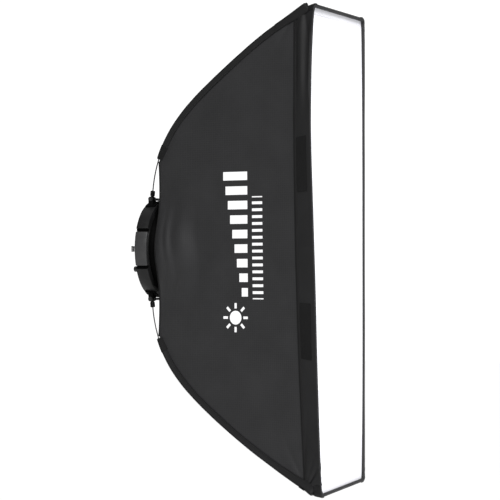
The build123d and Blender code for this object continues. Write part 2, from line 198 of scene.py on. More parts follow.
def ripple(side, depth, z):
    """Slow unevenness of cloth pulled between the rods."""
    level = np.abs(z)
    wave = np.sin(21 * level + 17 * depth + side) * np.sin(33 * depth - 9 * level + 1.3)
    pull = np.sin(9 * level - 25 * depth + 2 * side)
    fade = smooth(level / 0.05)
    lean = depth + 0.004 * np.sin(z * 40)
    groove = sum(size * np.exp(-(((lean - place) / wide) ** 2)) for place, wide, size in HUB_PLEATS)
    near_hub = np.exp(-((z / 0.085) ** 4))
    return ((0.8 * wave + 0.5 * pull) * fade - groove * near_hub) * MM


# ---------------------------------------------------------------- materials


class Signal:
    """A shader value that ordinary arithmetic works on."""

    def __init__(self, shader, socket):
        self.shader = shader
        self.socket = socket

    def math(self, operation, *others, clamp=False):
        settings = {"operation": operation, "use_clamp": clamp}
        values = dict(enumerate((self, *others)))
        return self.shader.node("ShaderNodeMath", settings, values)

    def __add__(self, other):
        return self.math("ADD", other)

    __radd__ = __add__

    def __sub__(self, other):
        return self.math("SUBTRACT", other)

    def __rsub__(self, other):
        return self.math("MULTIPLY_ADD", -1.0, other)

    def __mul__(self, other):
        return self.math("MULTIPLY", other)

    __rmul__ = __mul__

    def __truediv__(self, other):
        return self.math("DIVIDE", other)

    def __abs__(self):
        return self.math("ABSOLUTE")

    def most(self, other):
        return self.math("MAXIMUM", other)

    def between(self, low, high):
        """0 below low, 1 above high, and even in between."""
        return self.math("MULTIPLY_ADD", 1 / (high - low), -low / (high - low), clamp=True)


class Shader:
    """A material under construction."""

    def __init__(self, name, roughness=0.5, **constants):
        self.material = bpy.data.materials.new(name)
        self.material.use_nodes = True
        self.tree = self.material.node_tree
        self.surface = self.tree.nodes["Principled BSDF"]
        self.set(**{"Roughness": roughness}, **constants)

    def set(self, **values):
        for name, value in values.items():
            self.join(self.surface.inputs[name.replace("_", " ")], value)

    def join(self, socket, value):
        if isinstance(value, Signal):
            self.tree.links.new(value.socket, socket)
        else:
            socket.default_value = value

    def node(self, kind, settings=None, values=None, output=0):
        node = self.tree.nodes.new(kind)
        for name, value in (settings or {}).items():
            if name == "stops":
                for stop, (place, colour) in zip(node.color_ramp.elements, value):
                    stop.position, stop.color = place, colour
            else:
                setattr(node, name, value)
        for name, value in (values or {}).items():
            self.join(node.inputs[name], value)
        return Signal(self, node.outputs[output])

    def cloth_place(self):
        """The cloth's own two directions, in metres."""
        place = self.node("ShaderNodeUVMap", {"uv_map": "cloth"})
        parts = {"Vector": place}
        return (
            place,
            self.node("ShaderNodeSeparateXYZ", None, parts, "X"),
            self.node("ShaderNodeSeparateXYZ", None, parts, "Y"),
        )

    def object_place(self):
        return self.node("ShaderNodeTexCoord", None, None, "Object")

    def noise(self, place, scale, detail=2.0, roughness=0.5):
        values = {"Vector": place, "Scale": scale, "Detail": detail, "Roughness": roughness}
        return self.node("ShaderNodeTexNoise", {"noise_dimensions": "3D"}, values, "Fac")

    def blend(self, share, first, second):
        values = {0: share, 6: first, 7: second}
        return self.node("ShaderNodeMix", {"data_type": "RGBA"}, values, 2)

    def bump(self, height, strength, distance=MM):
        values = {"Height": height, "Strength": strength, "Distance": distance}
        self.set(Normal=self.node("ShaderNodeBump", None, values, "Normal"))


def grey(value, tint=0.0):
    return (value, value, value * (1 + tint), 1.0)


def threads(across, pitch):
    """0 between threads and 1 on top of them."""
    return abs((across / pitch).math("FRACT") - 0.5) * 2


def woven(name, dark, light, pitch, relief, roughness=0.8, mark=None):
    """Plain woven cloth: over and under threads, and uneven dye."""
    shader = Shader(name, roughness)
    place, u, v = shader.cloth_place()
    warp, weft = threads(u, pitch), threads(v, pitch)
    weave = (warp - weft) * 0.5 + 0.5
    mottle = shader.noise(place, 14.0, 3.0)
    fibre = shader.noise(place, 900.0, 2.0)
    tone = (mottle * 0.7 + fibre * 0.3).between(0.3, 0.7)
    colour = shader.blend(tone, grey(dark, 0.05), grey(light, 0.05))
    height = weave * 0.6 + fibre * 0.4
    if mark:
        height, colour = mark(shader, u, v, height, colour)
    shader.set(Base_Color=colour, Roughness=tone * -0.1 + roughness)
    shader.surface.inputs["Specular IOR Level"].default_value = 0.22
    shader.bump(height, 0.6, relief)
    return shader.material


def ripstop_grid(shader, u, v, height, colour):
    """Heavier threads every few millimetres each way."""
    lines = threads(u, 4.2 * MM).between(0.8, 0.97).most(threads(v, 4.2 * MM).between(0.8, 0.97))
    colour = shader.blend(lines * 0.3, colour, grey(0.034, 0.05))
    return height + lines * 1.2, colour


# The print: a lamp sign, then bars that rise like a brightness scale, then a row of short ticks.
PRINT_LOW = -160 * MM
PRINT_NEAR = 201 * MM
PRINT_WIDE = 56 * MM
SIGN_RADIUS = 13 * MM
BAR_COUNT = 9
BAR_PITCH = 27.5 * MM
BAR_FIRST = -84 * MM
TICK_NEAR = 268 * MM
TICK_WIDE = 24 * MM
TICK_PITCH = 13 * MM
TICK_REACH = 97 * MM


def inside(distance):
    """1 where a signed distance is below zero, with an edge as soft as ink on cloth."""
    return 1 - distance.between(-0.3 * MM, 0.3 * MM)


def printed(shader, u, v, height, colour):
    height, colour = ripstop_grid(shader, u, v, height, colour)
    middle = PRINT_NEAR + PRINT_WIDE / 2
    across, up = u - middle, v - (PRINT_LOW + PRINT_WIDE / 2)
    away = (across * across + up * up).math("SQRT")
    disc = inside(away - SIGN_RADIUS)
    turn = up.math("ARCTAN2", across) * (8 / (2 * pi))
    ray = abs(turn.math("FRACT") - 0.5)
    rays = inside((0.5 - ray) * away * (2 * pi / 8) - 2.4 * MM)
    band = inside(abs(away - 22.5 * MM) - 5 * MM)
    sign = disc.most(rays * band)
    step = (v - BAR_FIRST) / BAR_PITCH + 0.5
    index = step.math("FLOOR")
    reach = (v - BAR_FIRST) - index * BAR_PITCH
    length = index * (PRINT_WIDE * 0.75 / (BAR_COUNT - 1)) + PRINT_WIDE * 0.25
    bar = inside(abs(reach) - 8 * MM) * inside((PRINT_NEAR + PRINT_WIDE) - length - u)
    bar = bar * inside(u - (PRINT_NEAR + PRINT_WIDE))
    bar = bar * inside(-0.5 - index) * inside(index - (BAR_COUNT - 0.5))
    tick = inside(abs((v / TICK_PITCH).math("FRACT") - 0.5) * TICK_PITCH - 2.6 * MM)
    tick = tick * inside(abs(u - (TICK_NEAR + TICK_WIDE / 2)) - TICK_WIDE / 2)
    tick = tick * inside(abs(v) - TICK_REACH)
    ink = sign.most(bar).most(tick)
    worn = shader.noise(shader.cloth_place()[0], 160.0, 3.0).between(0.2, 0.35) * 0.25 + 0.75
    colour = shader.blend(ink * worn, colour, grey(0.84, 0.01))
    return height + ink * 0.6, colour


def cloth_materials():
    return {
        "panel": woven("black_ripstop_printed", 0.013, 0.019, 0.9 * MM, 0.12 * MM, 0.6, printed),
        "plain": woven("black_ripstop", 0.013, 0.019, 0.9 * MM, 0.12 * MM, 0.6, ripstop_grid),
        "lip": woven("black_twill", 0.005, 0.0085, 1.1 * MM, 0.15 * MM, 0.58),
        "sleeve": woven("black_canvas", 0.003, 0.006, 1.3 * MM, 0.2 * MM, 0.66),
        "webbing": woven("black_webbing", 0.002, 0.004, 2.0 * MM, 0.4 * MM, 0.85),
        "binding": woven("grey_binding_tape", 0.017, 0.026, 1.4 * MM, 0.2 * MM, 0.7),
        "hook": woven("black_hook_tape", 0.002, 0.004, 1.6 * MM, 0.8 * MM, 0.95),
        "white": woven("white_diffusion_cloth", 0.9, 0.94, 0.7 * MM, 0.05 * MM, 0.85),
        "hem": woven("white_hem_tape", 0.8, 0.87, 1.0 * MM, 0.12 * MM, 0.85),
        "silver": silver_lining_material(),
    }


def silver_lining_material():
    shader = Shader("silver_lining", 0.35, Metallic=0.85)
    place, u, v = shader.cloth_place()
    crinkle = shader.noise(place, 60.0, 5.0, 0.65)
    weave = threads(u, 1.1 * MM) - threads(v, 1.1 * MM)
    shader.set(Base_Color=shader.blend(crinkle, grey(0.55), grey(0.8)))
    shader.set(Roughness=crinkle * 0.3 + 0.22)
    shader.bump(crinkle + weave * 0.15, 0.7, 0.5 * MM)
    return shader.material


def moulded(name, dark, light, grain, roughness, relief=0.12, shine=0.3):
    """Moulded plastic with a fine spark-eroded grain."""
    shader = Shader(name, roughness)
    shader.surface.inputs["Specular IOR Level"].default_value = shine
    place = shader.object_place()
    fine = shader.noise(place, grain, 3.0, 0.6)
    cloudy = shader.noise(place, 35.0, 2.0)
    tone = (fine * 0.5 + cloudy * 0.5).between(0.35, 0.65)
    shader.set(Base_Color=shader.blend(tone, grey(dark, 0.02), grey(light, 0.02)))
    shader.set(Roughness=fine.between(0.3, 0.7) * 0.16 + (roughness - 0.08))
    shader.bump(fine, 0.5, relief * MM)
    return shader.material


def metal(name, value, roughness, streak=(40.0, 900.0, 900.0)):
    """Drawn or turned metal with fine streaks."""
    shader = Shader(name, roughness, Metallic=1.0)
    values = {"Vector": shader.object_place(), "Scale": streak}
    stretched = shader.node("ShaderNodeMapping", None, values)
    lines = shader.noise(stretched, 1.0, 3.0, 0.6)
    shader.set(Base_Color=shader.blend(lines, grey(value * 0.8), grey(value)))
    shader.set(Roughness=lines * 0.2 + (roughness - 0.1))
    shader.bump(lines, 0.25, 0.05 * MM)
    return shader.material


def thread_material(name, value):
    shader = Shader(name, 0.7)
    fibre = shader.noise(shader.object_place(), 1500.0, 2.0)
    shader.set(Base_Color=shader.blend(fibre, grey(value * 0.7), grey(value)))
    shader.bump(fibre, 0.3, 0.1 * MM)
    return shader.material


CLOTH = cloth_materials()
GREY_PLASTIC = moulded("dark_ring_plastic", 0.004, 0.01, 1300.0, 0.4, shine=0.2)
BRIGHT_PLASTIC = moulded("grey_paddle_plastic", 0.02, 0.036, 1300.0, 0.36)
# Black plastic with painted shade: it is darker and duller than black plastic is, to stand for the shadow
# in the recessed hub. The gap pads, hinge brackets, rod tips and brake pad use it too.
BLACK_PLASTIC_AND_SHADE = moulded("black_hub_plastic_and_painted_shade", 0.0006, 0.0014, 1100.0, 0.7, shine=0.05)
BLACK_GLOSS = moulded("black_knob_plastic", 0.003, 0.005, 500.0, 0.2, 0.03, 0.4)
HOLDER_PLASTIC = moulded("dark_holder_plastic", 0.002, 0.004, 1400.0, 0.4, shine=0.1)
BRIGHT_METAL = metal("satin_aluminium", 0.4, 0.36)
ROD_STEEL = metal("spring_steel", 0.06, 0.4, (900.0, 60.0, 60.0))
DARK_STEEL = metal("dark_screw_steel", 0.06, 0.4)
BLACK_THREAD = thread_material("black_thread", 0.014)
WHITE_THREAD = thread_material("white_thread", 0.7)

# ---------------------------------------------------------------- meshes


def closed_mesh(name, points, faces, material, uvs=None, sharp=50):
    """A closed mesh with its faces turned outward, smooth except at sharp edges."""
    points = np.asarray(points, float)
    volume = 0.0
    for face in faces:
        a = points[face[0]]
        for i in range(1, len(face) - 1):
            volume += np.dot(a, np.cross(points[face[i]], points[face[i + 1]]))
    if volume < 0:
        faces = [tuple(reversed(face)) for face in faces]
    mesh = bpy.data.meshes.new(name)
    mesh.from_pydata(points.tolist(), [], faces)
    if uvs is not None:
        layer = mesh.uv_layers.new(name="cloth")
        index = np.zeros(len(mesh.loops), np.int32)
        mesh.loops.foreach_get("vertex_index", index)
        layer.data.foreach_set("uv", np.asarray(uvs, np.float32)[index].ravel())
    mesh.polygons.foreach_set("use_smooth", [True] * len(mesh.polygons))
    mesh.set_sharp_from_angle(angle=radians(sharp))
    mesh.materials.append(material)
    piece = bpy.data.objects.new(name, mesh)
    bpy.context.collection.objects.link(piece)
    return piece


def grid_normals(grid):
    rows, columns = np.gradient(grid, axis=0), np.gradient(grid, axis=1)
    normals = np.cross(rows, columns)
    return normals / np.maximum(np.linalg.norm(normals, axis=2, keepdims=True), 1e-12)


def outward_normals(grid, facing=None):
    normals = grid_normals(grid)
    away = grid * np.array([1, 0, 1]) if facing is None else np.array(facing, float)
    return normals if (normals * away).sum() > 0 else -normals


def lengths(grid, axis):
    """Length along one direction of a grid at each of its points."""
    steps = np.linalg.norm(np.diff(grid, axis=axis), axis=2)
    total = np.cumsum(steps, axis=axis)
    lead = np.zeros_like(np.take(total, [0], axis=axis))
    return np.concatenate([lead, total], axis=axis)


def cloth(name, grid, wall, material, facing=None, uv=None):
    """A sheet from a grid of points on its outer face, with an inner face and a rim. uv gives each point's
    own place on the cloth, where that isn't the grid's own lengths along and across."""
    normals = outward_normals(grid, facing)
    rows, columns = grid.shape[:2]
    if uv is None:
        uv = np.stack([lengths(grid, 0), lengths(grid, 1)], axis=2)
    points = np.concatenate([grid.reshape(-1, 3), (grid - normals * wall).reshape(-1, 3)])
    count = rows * columns
    number = np.arange(count).reshape(rows, columns)
    faces = []
    for i in range(rows - 1):
        for j in range(columns - 1):
            face = (number[i, j], number[i + 1, j], number[i + 1, j + 1], number[i, j + 1])
            faces.append(tuple(int(k) for k in face))
            faces.append(tuple(int(k) + count for k in reversed(face)))
    rim = [*number[:, 0], *number[-1, 1:], *number[-2::-1, -1], *number[0, -2:0:-1]]
    for a, b in zip(rim, rim[1:] + rim[:1]):
        faces.append((int(b), int(a), int(a) + count, int(b) + count))
    flat = uv.reshape(-1, 2)
    piece = closed_mesh(name, points, faces, material, np.concatenate([flat, flat]))
    return piece


def swept_faces(rows, columns):
    """Faces of a closed section carried along rows of points, with both ends closed."""
    number = np.arange(rows * columns).reshape(rows, columns)
    faces = []
    for i in range(rows - 1):
        for j in range(columns):
            k = (j + 1) % columns
            face = (number[i, j], number[i + 1, j], number[i + 1, k], number[i, k])
            faces.append(tuple(int(n) for n in face))
    faces.append(tuple(int(n) for n in number[0]))
    faces.append(tuple(int(n) for n in reversed(number[-1])))
    return faces


REARWARD = np.array([0, 1, 0])


def tube(name, path, section, material):
    """A closed section swept along a path. The section's first direction is rearward."""
    path = np.asarray(path, float)
    tangents = np.gradient(path, axis=0)
    tangents /= np.linalg.norm(tangents, axis=1, keepdims=True)
    first = REARWARD - (REARWARD * tangents).sum(1, keepdims=True) * tangents
    first /= np.linalg.norm(first, axis=1, keepdims=True)
    second = np.cross(tangents, first)
    points = path[:, None] + section[None, :, :1] * first[:, None] + section[None, :, 1:] * second[:, None]
    rows, columns = points.shape[:2]
    faces = swept_faces(rows, columns)
    around = np.linspace(0, 1, columns) * np.linalg.norm(np.diff(section, axis=0), axis=1).sum()
    along = np.concatenate([[0], np.cumsum(np.linalg.norm(np.diff(path, axis=0), axis=1))])
    uvs = np.stack(np.meshgrid(along, around, indexing="ij"), axis=2).reshape(-1, 2)
    return closed_mesh(name, points.reshape(-1, 3), faces, material, uvs)


def oval(first, second, count=14):
    angles = np.linspace(0, 2 * pi, count, endpoint=False)
    return np.stack([first * np.cos(angles), second * np.sin(angles)], axis=1)


def half_loop(half_width, half_height, level, radius=8 * MM, steps=60):
    """Points from mid height on the right, over the end, to mid height on the left."""
    arc = np.linspace(0, pi / 2, 7)
    rise = half_height - radius
    run = half_width - radius
    up = np.linspace(0, rise, steps)[:-1]
    over = np.linspace(run, -run, 26)[1:-1]
    points = [(half_width, z) for z in up]
    points += [(run + radius * cos(a), rise + radius * sin(a)) for a in arc]
    points += [(x, half_height) for x in over]
    points += [(-run - radius * sin(a), rise + radius * cos(a)) for a in arc]
    points += [(-half_width, z) for z in up[::-1]]
    return np.array(points) * np.array([1, level])


def loop_grid(depths, level, inset=0.0, radius=5 * MM, steps=60):
    """Half loops of the box at several depths, as one grid. The lip's corners round off forward."""
    rows = []
    for depth in depths:
        height, width = corner_at(depth, inset)
        rounder = 7 * MM * max(0, (depth - SEAM) / (FRONT - SEAM))
        flat = half_loop(width, height, level, radius + rounder, steps)
        rows.append(settle(depth, flat[:, 0], flat[:, 1]))
    return np.array(rows)


# ---------------------------------------------------------------- the fold, which only bakes each piece in place
#
# Each piece is only baked where it stands, and the CAD pieces it replaces are hidden; nothing here bends
# it.


def fold(piece):
    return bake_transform(piece)


def soft_piece(piece, level_name, slot, *nodes):
    if nodes:
        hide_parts(*nodes)
    return fold(piece)


# ---------------------------------------------------------------- cloth pieces

REAR = distance_at(HUB_FRONT)
PANEL_ROWS = 96
BULGE_SIZE = 31 * MM
BULGE_REACH = 0.12
BULGE_HEIGHT = 0.062


def panel_depths():
    distances = np.linspace(REAR, distance_at(SEAM), PANEL_ROWS)
    return [float(rod_at(d)[0]) for d in distances]


def hub_bulge(depth, z):
    """The side panels are pushed out where they pass the hub."""
    fade = 1 - smooth((depth - HUB_FRONT) / BULGE_REACH)
    return BULGE_SIZE * fade * np.exp(-((z / BULGE_HEIGHT) ** 2))


def side_grid(side, level):
    rows, uvs = [], []
    along = 0.0
    before = None
    for depth in panel_depths():
        height, width = corner_at(depth)
        z = level * height * np.linspace(0, 1, 120)
        rear = 1 - smooth((depth - HUB_FRONT) / 0.05)
        forward = depth + 4 * MM * rear * (1 - (z / height) ** 2)
        near_seam = smooth((SEAM - depth) / 0.02) * smooth((height - np.abs(z)) / 0.015)
        out = width + hub_bulge(depth, z)
        out = out + (folds(side, depth, z) + ripple(side, depth, z)) * near_seam
        rows.append(settle(forward, side * out, z))
        if before is not None:
            along += hypot(depth - before[0], width - before[1])
        before = (depth, width)
        uvs.append(np.stack([np.full(len(z), along + HUB_FRONT), z], axis=1))
    return np.array(rows), np.array(uvs)


def end_grid(level):
    rows = []
    for depth in panel_depths():
        height, width = corner_at(depth)
        t = np.linspace(-1, 1, 30)
        sag = 3 * MM * (1 - t**2) * smooth((SEAM - depth) / 0.03)
        wave = 0.8 * MM * np.sin(5 * t + 30 * depth) * (1 - t**2)
        rows.append(settle(depth, width * t, level * (height - sag + wave)))
    return np.array(rows)


def make_panels():
    for side_name, side in SIDES.items():
        for level_name, level in LEVELS.items():
            grid, uv = side_grid(side, level)
            material = CLOTH["panel"]
            name = f"{level_name}_{side_name}_side_panel"
            piece = cloth(name, grid, PANEL_WALL, material, uv=uv)
            nodes = (f"{side_name}_side_panel", f"{side_name}_collar_wall")
            soft_piece(piece, level_name, "black_ripstop", *nodes)
    for level_name, level in LEVELS.items():
        end = "top_panel" if level > 0 else "bottom_panel"
        piece = cloth(f"{end}_cloth", end_grid(level), PANEL_WALL, CLOTH["plain"])
        soft_piece(piece, level_name, "black_ripstop", end, f"{level_name}_collar_wall")


def collar_outline(level):
    """The rear edge of the panels: up the right side, over the end, down the left side."""
    right = side_grid(1, level)[0][0]
    left = side_grid(-1, level)[0][0]
    end = end_grid(level)[0][::-1]
    return np.concatenate([right, end[1:-1], left[::-1]])


COLLAR_OVERLAP = 1 * MM
COLLAR_CLEARANCE = 0.5 * MM
COLLAR_BULGE = 1.5 * MM
PIPING_SECTION = oval(1.5 * MM, 1.5 * MM, 8)
ELASTIC_SECTION = oval(1.6 * MM, 2.4 * MM, 10)


def make_collar():
    for level_name, level in LEVELS.items():
        outer = collar_outline(level)
        angle = np.arctan2(outer[:, 2], outer[:, 0])
        radius = HUB_RADIUS - COLLAR_OVERLAP
        rear = np.full(len(outer), -HUB_FRONT - COLLAR_CLEARANCE)
        inner = np.stack([radius * np.cos(angle), rear, radius * np.sin(angle)], axis=1)
        shares = np.linspace(0, 1, 16)[:, None, None]
        grid = inner * (1 - shares) + outer * shares
        grid[..., 1] += COLLAR_BULGE * np.sin(pi * shares[..., 0])
        name = f"{level_name}_rear_collar"
        piece = cloth(name, grid, PANEL_WALL, CLOTH["plain"], facing=(0, 1, 0))
        soft_piece(piece, level_name, "black_ripstop", "rear_collar")
        welt = tube(f"{level_name}_collar_piping", outer, PIPING_SECTION, CLOTH["webbing"])
        soft_piece(welt, level_name, "black_webbing")
        band = inner + np.array([0, -0.5 * MM, 0])
        rim = tube(f"{level_name}_collar_elastic", band, ELASTIC_SECTION, CLOTH["webbing"])
        soft_piece(rim, level_name, "black_webbing")


LIP_ROWS = 20
LIP_STANDS_OUT = 0.9 * MM
LIP_STEPS = 150


def lip_grid(level, lift=0.0):
    depths = np.linspace(SEAM, FRONT - 0.6 * MM, LIP_ROWS)
    grid = loop_grid(depths, level, inset=-LIP_STANDS_OUT - lift, steps=LIP_STEPS)
    normals = outward_normals(grid)
    share = np.linspace(0, 1, len(grid))[:, None]
    z = grid[..., 2]
    side = np.sign(grid[..., 0])
    on_side = smooth((np.abs(grid[..., 0]) - 0.12) / 0.02)
    away = np.abs(z)
    folded = np.zeros(z.shape)
    for s in (-1, 1):
        depth = -grid[..., 1]
        here = folds(s, depth, z) * 0.9 + 0.9 * MM * np.sin(19 * away + 2 * s) * np.sin(7 * away)
        upright = 3.0 * MM * np.sin(7.5 * share - 2.2 + 3 * z) * smooth((z - 0.22) / 0.12)
        upright = upright * smooth((FRONT_HEIGHT - away) / 0.05)
        folded = np.where(side == s, here + upright, folded)
    edge = 0.12 + 0.88 * np.sin(pi * share**0.8)
    mid = smooth(away / 0.03)
    return grid + normals * (folded * edge * on_side * mid)[..., None]


WELT_SECTION = oval(2.8 * MM, 1.2 * MM, 10)
HEM_SECTION = oval(3.2 * MM, 3.4 * MM, 14)
HEM_DEPTH = 2.6 * MM
HEM_BACK = 2.2 * MM
TAPE_WALL = 0.9 * MM
TAPE_ROWS = slice(6, 18, 3)


def make_lip():
    for level_name, level in LEVELS.items():
        grid = lip_grid(level)
        piece = cloth(f"{level_name}_front_lip", grid, LIP_WALL, CLOTH["lip"])
        end = "top_lip" if level > 0 else "bottom_lip"
        nodes = (end, "left_side_lip", "right_side_lip")
        soft_piece(piece, level_name, "black_ripstop", *nodes)
        outward = outward_normals(grid)
        seam = grid[0] + outward[0] * 0.2 * MM
        welt = tube(f"{level_name}_seam_welt", seam, WELT_SECTION, CLOTH["webbing"])
        soft_piece(welt, level_name, "black_webbing")
        front = (grid - outward * (LIP_WALL + HEM_DEPTH))[-1] + np.array([0, HEM_BACK, 0])
        hem = tube(f"{level_name}_edge_binding", front, HEM_SECTION, CLOTH["binding"])
        soft_piece(hem, level_name, "grey_binding", "edge_binding")
        for node, inset in (("lip_loop_tape", 1.8 * MM), ("diffuser_hook_tape", 3.0 * MM)):
            rows = (grid - outward * inset)[TAPE_ROWS]
            tape = cloth(f"{level_name}_{node}", rows, TAPE_WALL, CLOTH["hook"])
            soft_piece(tape, level_name, "black_hook_tape", node)


TAB_LUMP = {"upper": 3.5, "lower": 6.0}
TAB_ROWS = 9
TAB_STANDS_OUT = 2.2 * MM
TAB_WALL = 2.6 * MM
TAB_HEIGHT = 16 * MM
TAB_WIDTH = 26 * MM


def make_corner_tabs():
    """Each lip corner is doubled with a tab that runs on from the end of the sleeve."""
    depths = np.linspace(SEAM - 3 * MM, FRONT - 0.8 * MM, TAB_ROWS)
    for level_name, level in LEVELS.items():
        rows = []
        for share, depth in zip(np.linspace(0, 1, TAB_ROWS), depths):
            row = loop_grid([depth], level, inset=-TAB_STANDS_OUT, steps=LIP_STEPS)[0]
            lump = np.interp(share, [0, 0.3, 0.55, 1], [0, 4, TAB_LUMP[level_name], 0]) * MM
            row[:, 2] += level * lump * smooth((np.abs(row[:, 2]) - FRONT_HEIGHT) / 0.02 + 1)
            rows.append(row)
        grid = np.array(rows)
        last = grid[-1]
        for side_name, side in SIDES.items():
            near_end = np.abs(last[:, 2]) > FRONT_HEIGHT - TAB_HEIGHT
            near_side = side * last[:, 0] > FRONT_WIDTH - TAB_WIDTH
            corner = grid[:, near_end & near_side]
            name = f"{level_name}_{side_name}_corner_tab"
            piece = cloth(name, corner, TAB_WALL, CLOTH["sleeve"])
            soft_piece(piece, level_name, "black_ripstop")


PATCH_LOW = 102 * MM
PATCH_HIGH = 209 * MM
PATCH_WALL = 1.0 * MM
PATCH_ROWS = slice(2, 15)


def make_patches():
    for side_name, side in SIDES.items():
        for level_name, level in LEVELS.items():
            grid = lip_grid(level, lift=PATCH_WALL)
            middle = grid[LIP_ROWS // 2]
            z = np.abs(middle[:, 2])
            keep = (z >= PATCH_LOW) & (z <= PATCH_HIGH) & (np.sign(middle[:, 0]) == side)
            name = f"{level_name}_{side_name}_lip_patch"
            piece = cloth(name, grid[PATCH_ROWS][:, keep], PATCH_WALL, CLOTH["hook"])
            soft_piece(piece, level_name, "black_hook_tape", "lip_patches")


def diffuser_depth(x, z):
    """The white front stands nearly flush at mid height and sinks in toward its ends."""
    across = x / FRONT_WIDTH
    up = z / FRONT_HEIGHT
    return FRONT - (2.6 + 3.4 * up**4 + 1.0 * across**2) * MM


def diffuser_grid(level, inset=3.6 * MM):
    height, width = FRONT_HEIGHT - inset, FRONT_WIDTH - inset
    z = level * height * np.linspace(0, 1, 60)
    x = width * np.linspace(-1, 1, 30)
    across, up = np.meshgrid(x, z, indexing="ij")
    wave = 0.5 * MM * np.sin(18 * across + 7 * np.abs(up)) * np.sin(11 * np.abs(up))
    return settle(diffuser_depth(across, up) + wave, across, up)


def diffuser_loop(level, inset, radius, lift):
    """A half loop on the white front, a little way in from its edge and under its face by lift."""
    flat = half_loop(FRONT_WIDTH - inset, FRONT_HEIGHT - inset, level, radius)
    depth = diffuser_depth(flat[:, 0], flat[:, 1]) + lift
    return settle(depth, flat[:, 0], flat[:, 1])


DIFFUSER_WALL = 0.8 * MM
HEM_WALL = 0.7 * MM
FORWARD = (0, -1, 0)


def make_diffuser():
    for level_name, level in LEVELS.items():
        grid = diffuser_grid(level)
        name = f"{level_name}_front_diffuser"
        piece = cloth(name, grid, DIFFUSER_WALL, CLOTH["white"], facing=FORWARD)
        soft_piece(piece, level_name, "white_diffusion", "front_diffuser")
        insets = np.linspace(3.8, 17.0, 5) * MM
        rows = np.array([diffuser_loop(level, inset, 6 * MM, 0.9 * MM) for inset in insets])
        name = f"{level_name}_diffuser_hem"
        hem = cloth(name, rows, HEM_WALL, CLOTH["hem"], facing=FORWARD)
        soft_piece(hem, level_name, "white_diffusion")


def make_lining():
    first = HUB_FRONT + 10 * MM
    depths = [first + (SEAM - first) * share for share in np.linspace(0, 1, 24)]
    for level_name, level in LEVELS.items():
        grid = loop_grid(depths, level, inset=LINING_INSET + 3 * MM, radius=3 * MM)
        piece = cloth(f"{level_name}_silver_lining", grid, LINING_WALL, CLOTH["silver"])
        soft_piece(piece, level_name, "silver_fabric", "silver_lining")


BAFFLE_WALL = 0.8 * MM
BAFFLE_EDGE = oval(1.0 * MM, 3.0 * MM, 8)
STRAP_SECTION = oval(0.7 * MM, 5 * MM, 10)


def make_baffle():
    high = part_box("inner_baffle")[1]
    depth = -high.y
    for level_name, level in LEVELS.items():
        z = level * high.z * np.linspace(0, 1, 30)
        x = high.x * np.linspace(-1, 1, 20)
        across, up = np.meshgrid(x, z, indexing="ij")
        pull = 4 * MM * (np.abs(across) / high.x * np.abs(up) / high.z) ** 3
        waisted = across * (1 - 0.05 * np.cos(up / high.z * pi / 2))
        grid = np.stack([waisted, -(depth + pull), up], axis=2)
        name = f"{level_name}_inner_baffle"
        piece = cloth(name, grid, BAFFLE_WALL, CLOTH["white"], facing=FORWARD)
        soft_piece(piece, level_name, "white_diffusion", "inner_baffle")
        border = np.concatenate([grid[0, :, :], grid[1:-1, -1, :], grid[-1, ::-1, :]])
        edge = tube(f"{level_name}_baffle_edge", border, BAFFLE_EDGE, CLOTH["webbing"])
        soft_piece(edge, level_name, "black_webbing")
        for side_name, side in SIDES.items():
            height, width = corner_at(depth, 6 * MM)
            start = np.array([side * high.x, -depth - 3 * MM, level * high.z])
            end = np.array([side * width, -depth - 1 * MM, level * height])
            shares = np.linspace(-0.12, 1, 12)[:, None]
            path = start + (end - start) * shares
            name = f"{level_name}_{side_name}_baffle_strap"
            strap = tube(name, path, STRAP_SECTION, CLOTH["webbing"])
            soft_piece(strap, level_name, "black_webbing", "baffle_straps")


# ---------------------------------------------------------------- sleeves along the rods


def rod_frame(side, level, distances):
    """Points along a rod, with the direction away from the box and the direction to the side."""
    points = np.array([rod_at(d) for d in distances])
    path = np.stack([side * points[:, 2], -points[:, 0], level * points[:, 1]], axis=1)
    tangents = np.gradient(path, axis=0)
    tangents /= np.linalg.norm(tangents, axis=1, keepdims=True)
    sideways = np.array([side, 0, 0]) * np.ones((len(path), 3))
    sideways -= (sideways * tangents).sum(1, keepdims=True) * tangents
    sideways /= np.linalg.norm(sideways, axis=1, keepdims=True)
    outward = np.cross(tangents, sideways)
    flip = np.sign((outward * np.array([0, 1, level])).sum(1, keepdims=True))
    return path, outward * flip, sideways


def drop_section(round_radius, tail, tail_wall, count=9):
    """Round over the rod with a flat tail toward the box: (outward, sideways) pairs."""
    arc = np.linspace(-0.62 * pi, 0.62 * pi, count)
    points = [(round_radius * cos(a), round_radius * sin(a)) for a in arc]
    points += [(-tail * 0.5, tail_wall / 2 + 0.2 * MM), (-tail, tail_wall / 2)]
    points += [(-tail - 0.3 * MM, 0), (-tail, -tail_wall / 2), (-tail * 0.5, -tail_wall / 2 - 0.2 * MM)]
    return np.array(points)


SLEEVE_SECTION = drop_section(3.2 * MM, 9.2 * MM, 1.8 * MM)
WEBBING_SECTION = drop_section(4.0 * MM, 11.5 * MM, 3.2 * MM)
SHOE_SECTION = drop_section(3.7 * MM, 10 * MM, 2.4 * MM)


def on_rod(name, side, level, distances, section, material, scale=1.0):
    """A section carried along a rod, grown or shrunk by scale, and settled with the cloth."""
    path, outward, sideways = rod_frame(side, level, distances)
    sizes = np.ones(len(path)) * scale
    grown = section[None] * sizes[:, None, None]
    points = path[:, None] + grown[..., :1] * outward[:, None] + grown[..., 1:] * sideways[:, None]
    points = settle(-points[..., 1], points[..., 0], points[..., 2])
    faces = swept_faces(*points.shape[:2])
    steps = np.linalg.norm(np.diff(section, axis=0), axis=1)
    around = np.concatenate([[0], np.cumsum(steps)])
    uvs = np.stack(np.meshgrid(distances, around, indexing="ij"), axis=2).reshape(-1, 2)
    return closed_mesh(name, points.reshape(-1, 3), faces, material, uvs, sharp=65)


